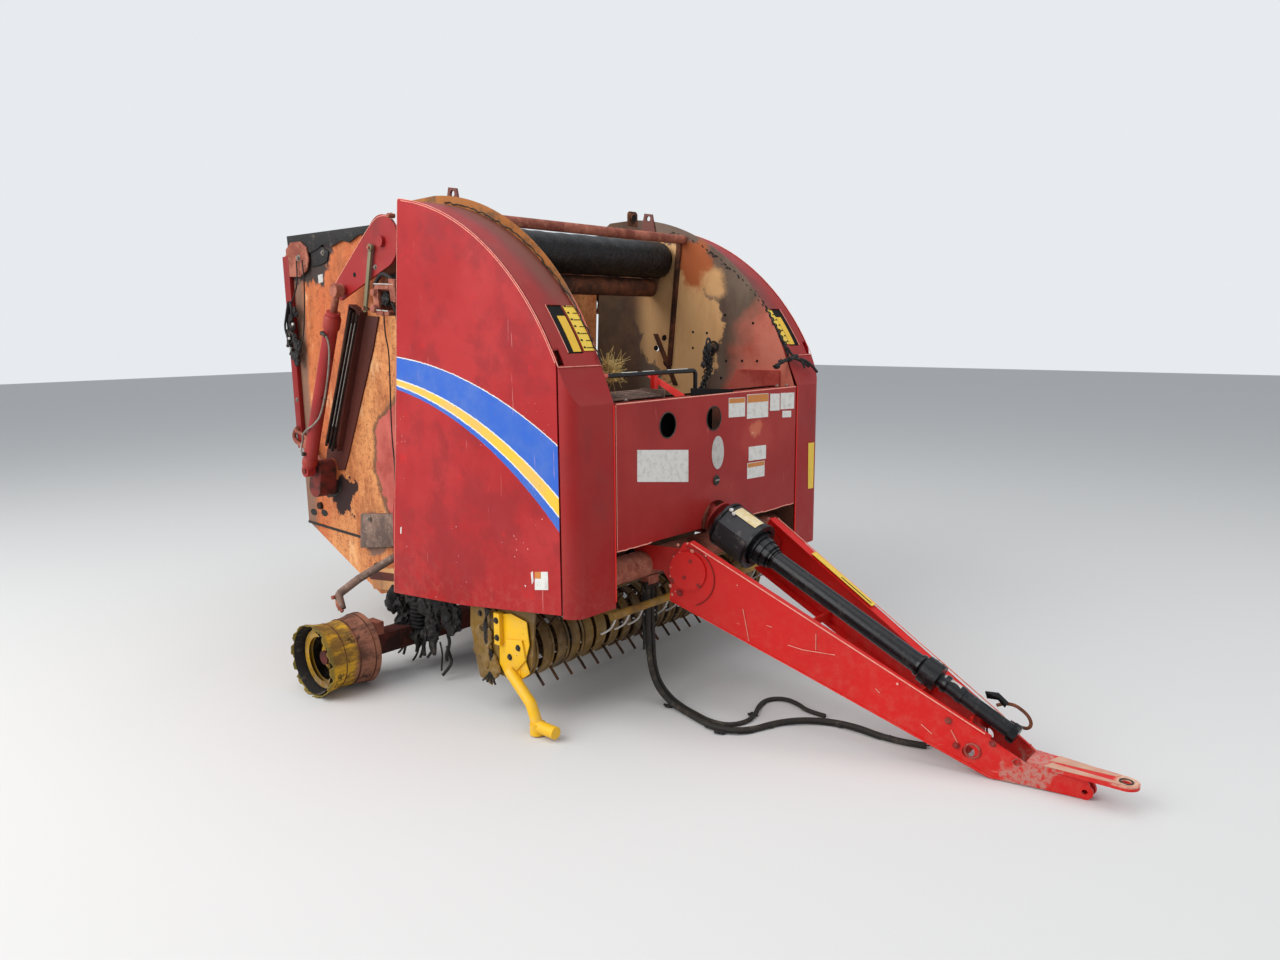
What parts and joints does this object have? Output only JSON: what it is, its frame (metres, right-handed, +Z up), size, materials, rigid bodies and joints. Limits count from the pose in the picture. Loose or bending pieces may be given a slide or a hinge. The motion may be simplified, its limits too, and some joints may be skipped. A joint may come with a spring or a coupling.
{
  "type": "round baler",
  "caption": "Towed round baler with raised-lid tailgate, roll chamber, tined pickup, curved side shields, tapering tongue and driveline, burnt out and resting on bare rims.",
  "frame": {"origin": "on the ground under the middle of the machine's bounding box, hoses left out", "axes": "+X forward to the hitch, +Y to the machine's left, +Z up"},
  "size_m": [3.9, 2.392, 2.106],
  "materials": {
    "red_paint": "faded gloss",
    "rusted_steel": "scorched and rusted",
    "burnt_steel": "burnt black",
    "bright_steel": "dull",
    "yellow_paint": "worn gloss",
    "black_plastic": "worn satin",
    "burnt_rubber": "burnt matt"
  },
  "bodies": {
    "frame": {"chamber_wall_right": "red_paint", "chamber_wall_left": "red_paint", "lifting_lugs": "red_paint", "cross_tubes": "red_paint", "panel_beam": "red_paint", "fender_right": "red_paint", "fender_left": "red_paint", "size_gauge": "yellow_paint", "shield_hinges": "red_paint", "net_frame": "red_paint", "axle": "red_paint", "rim_stays": "rusted_steel", "tongue_channels": "red_paint", "tongue_roots": "red_paint", "tongue_ties": "red_paint", "hitch": "red_paint", "gearbox": "red_paint", "drive_chain": "rusted_steel", "driveline_bell": "black_plastic", "belly_pan": "rusted_steel", "hose_long": "burnt_rubber", "hose_loop": "burnt_rubber"},
    "tailgate": {"tailgate_side_right": "red_paint", "tailgate_side_left": "red_paint", "tailgate_back": "rusted_steel", "tailgate_top": "rusted_steel", "tailgate_belly": "rusted_steel", "tailgate_struts": "rusted_steel"},
    "takeup": {"takeup_arms": "rusted_steel", "takeup_levers": "red_paint"},
    "takeup_roll_large": {"takeup_roll_large": "burnt_steel"},
    "takeup_roll_small": {"takeup_roll_small": "burnt_steel"},
    "starter_roll": {"starter_roll": "rusted_steel"},
    "floor_roll": {"floor_roll": "rusted_steel"},
    "gate_roll_top": {"gate_roll_top": "rusted_steel"},
    "gate_roll_low": {"gate_roll_low": "rusted_steel"},
    "gate_roll_floor": {"gate_roll_floor": "rusted_steel"},
    "barrel_right": {"cylinder_barrel_right": "red_paint"},
    "barrel_left": {"cylinder_barrel_left": "red_paint"},
    "rod_right": {"cylinder_rod_right": "bright_steel"},
    "rod_left": {"cylinder_rod_left": "bright_steel"},
    "rim_right": {"rim_right": "yellow_paint"},
    "rim_left": {"rim_left": "yellow_paint"},
    "pickup": {"pickup_frame": "yellow_paint", "pickup_bands": "yellow_paint", "gauge_arms": "rusted_steel"},
    "reel": {"pickup_reel": "yellow_paint"},
    "guard": {"wind_guard": "yellow_paint"},
    "shield_right": {"side_shield_right": "red_paint"},
    "shield_left": {"side_shield_left": "red_paint"},
    "panel": {"front_panel": "red_paint"},
    "driveline": {"driveline": "black_plastic"}
  },
  "joints": [
    {"name": "tailgate_hinge", "type": "hinge", "parent": "frame", "child": "tailgate", "pos_m": [-0.952, 0, 1.905], "axis": [0, 1, 0], "range_deg": [0, 55]},
    {"name": "takeup_pivot", "type": "hinge", "parent": "frame", "child": "takeup", "pos_m": [-0.952, 0, 1.905], "axis": [0, 1, 0], "range_deg": [0, 71.6]},
    {"name": "cylinder_foot_right", "type": "hinge", "parent": "tailgate", "child": "barrel_right", "pos_m": [-1.615, -0.77, 0.853], "axis": [0, -1, 0], "range_deg": [0, 5.6]},
    {"name": "cylinder_rod_right", "type": "slide", "parent": "barrel_right", "child": "rod_right", "axis": [0.3788, 0, 0.9255], "range_m": [0, 0.08]},
    {"name": "cylinder_foot_left", "type": "hinge", "parent": "tailgate", "child": "barrel_left", "pos_m": [-1.615, 0.77, 0.853], "axis": [0, -1, 0], "range_deg": [0, 5.6]},
    {"name": "cylinder_rod_left", "type": "slide", "parent": "barrel_left", "child": "rod_left", "axis": [0.3788, 0, 0.9255], "range_m": [0, 0.08]},
    {"name": "takeup_roll_large_spin", "type": "hinge", "parent": "takeup", "child": "takeup_roll_large", "pos_m": [-0.512, 0, 1.864], "axis": [0, 1, 0], "continuous": true},
    {"name": "takeup_roll_small_spin", "type": "hinge", "parent": "takeup", "child": "takeup_roll_small", "pos_m": [-0.562, 0, 1.732], "axis": [0, 1, 0], "continuous": true},
    {"name": "starter_roll_spin", "type": "hinge", "parent": "frame", "child": "starter_roll", "pos_m": [-0.542, 0, 0.5], "axis": [0, 1, 0], "continuous": true},
    {"name": "floor_roll_spin", "type": "hinge", "parent": "frame", "child": "floor_roll", "pos_m": [-0.842, 0, 0.455], "axis": [0, 1, 0], "continuous": true},
    {"name": "gate_roll_top_spin", "type": "hinge", "parent": "tailgate", "child": "gate_roll_top", "pos_m": [-1.792, 0, 1.85], "axis": [0, 1, 0], "continuous": true},
    {"name": "gate_roll_low_spin", "type": "hinge", "parent": "tailgate", "child": "gate_roll_low", "pos_m": [-1.762, 0, 0.64], "axis": [0, 1, 0], "continuous": true},
    {"name": "gate_roll_floor_spin", "type": "hinge", "parent": "tailgate", "child": "gate_roll_floor", "pos_m": [-1.272, 0, 0.4], "axis": [0, 1, 0], "continuous": true},
    {"name": "rim_right_spin", "type": "hinge", "parent": "frame", "child": "rim_right", "pos_m": [-0.939, -1.073, 0.156], "axis": [0, 1, 0], "continuous": true},
    {"name": "rim_left_spin", "type": "hinge", "parent": "frame", "child": "rim_left", "pos_m": [-0.939, 1.073, 0.156], "axis": [0, 1, 0], "continuous": true},
    {"name": "pickup_lift", "type": "hinge", "parent": "frame", "child": "pickup", "pos_m": [-0.332, 0, 0.44], "axis": [0, -1, 0], "range_deg": [0, 5]},
    {"name": "reel_spin", "type": "hinge", "parent": "pickup", "child": "reel", "pos_m": [-0.132, 0, 0.285], "axis": [0, 1, 0], "continuous": true},
    {"name": "guard_lift", "type": "hinge", "parent": "pickup", "child": "guard", "pos_m": [-0.012, 0, 0.455], "axis": [0, -1, 0], "range_deg": [0, 6]},
    {"name": "shield_right_door", "type": "hinge", "parent": "frame", "child": "shield_right", "pos_m": [0.208, -0.833, 0.9], "axis": [0, 0, 1], "range_deg": [0, 100]},
    {"name": "shield_left_door", "type": "hinge", "parent": "frame", "child": "shield_left", "pos_m": [0.208, 0.833, 0.9], "axis": [0, 0, -1], "range_deg": [0, 100]},
    {"name": "panel_lid", "type": "hinge", "parent": "frame", "child": "panel", "pos_m": [0.274, 0, 1.249], "axis": [0, -1, 0], "range_deg": [0, 100]},
    {"name": "driveline_spin", "type": "hinge", "parent": "frame", "child": "driveline", "pos_m": [0.288, 0, 0.745], "axis": [0.9048, 0, -0.4258], "continuous": true}
  ],
  "couplings": [
    {"joint": "takeup_pivot", "follows": "tailgate_hinge", "ratio": 1.3},
    {"joint": "cylinder_foot_right", "follows": "tailgate_hinge", "ratio": 0.0799},
    {"joint": "cylinder_rod_right", "follows": "tailgate_hinge", "m_per_rad": 0.0796},
    {"joint": "cylinder_foot_left", "follows": "tailgate_hinge", "ratio": 0.0799},
    {"joint": "cylinder_rod_left", "follows": "tailgate_hinge", "m_per_rad": 0.0796}
  ]
}
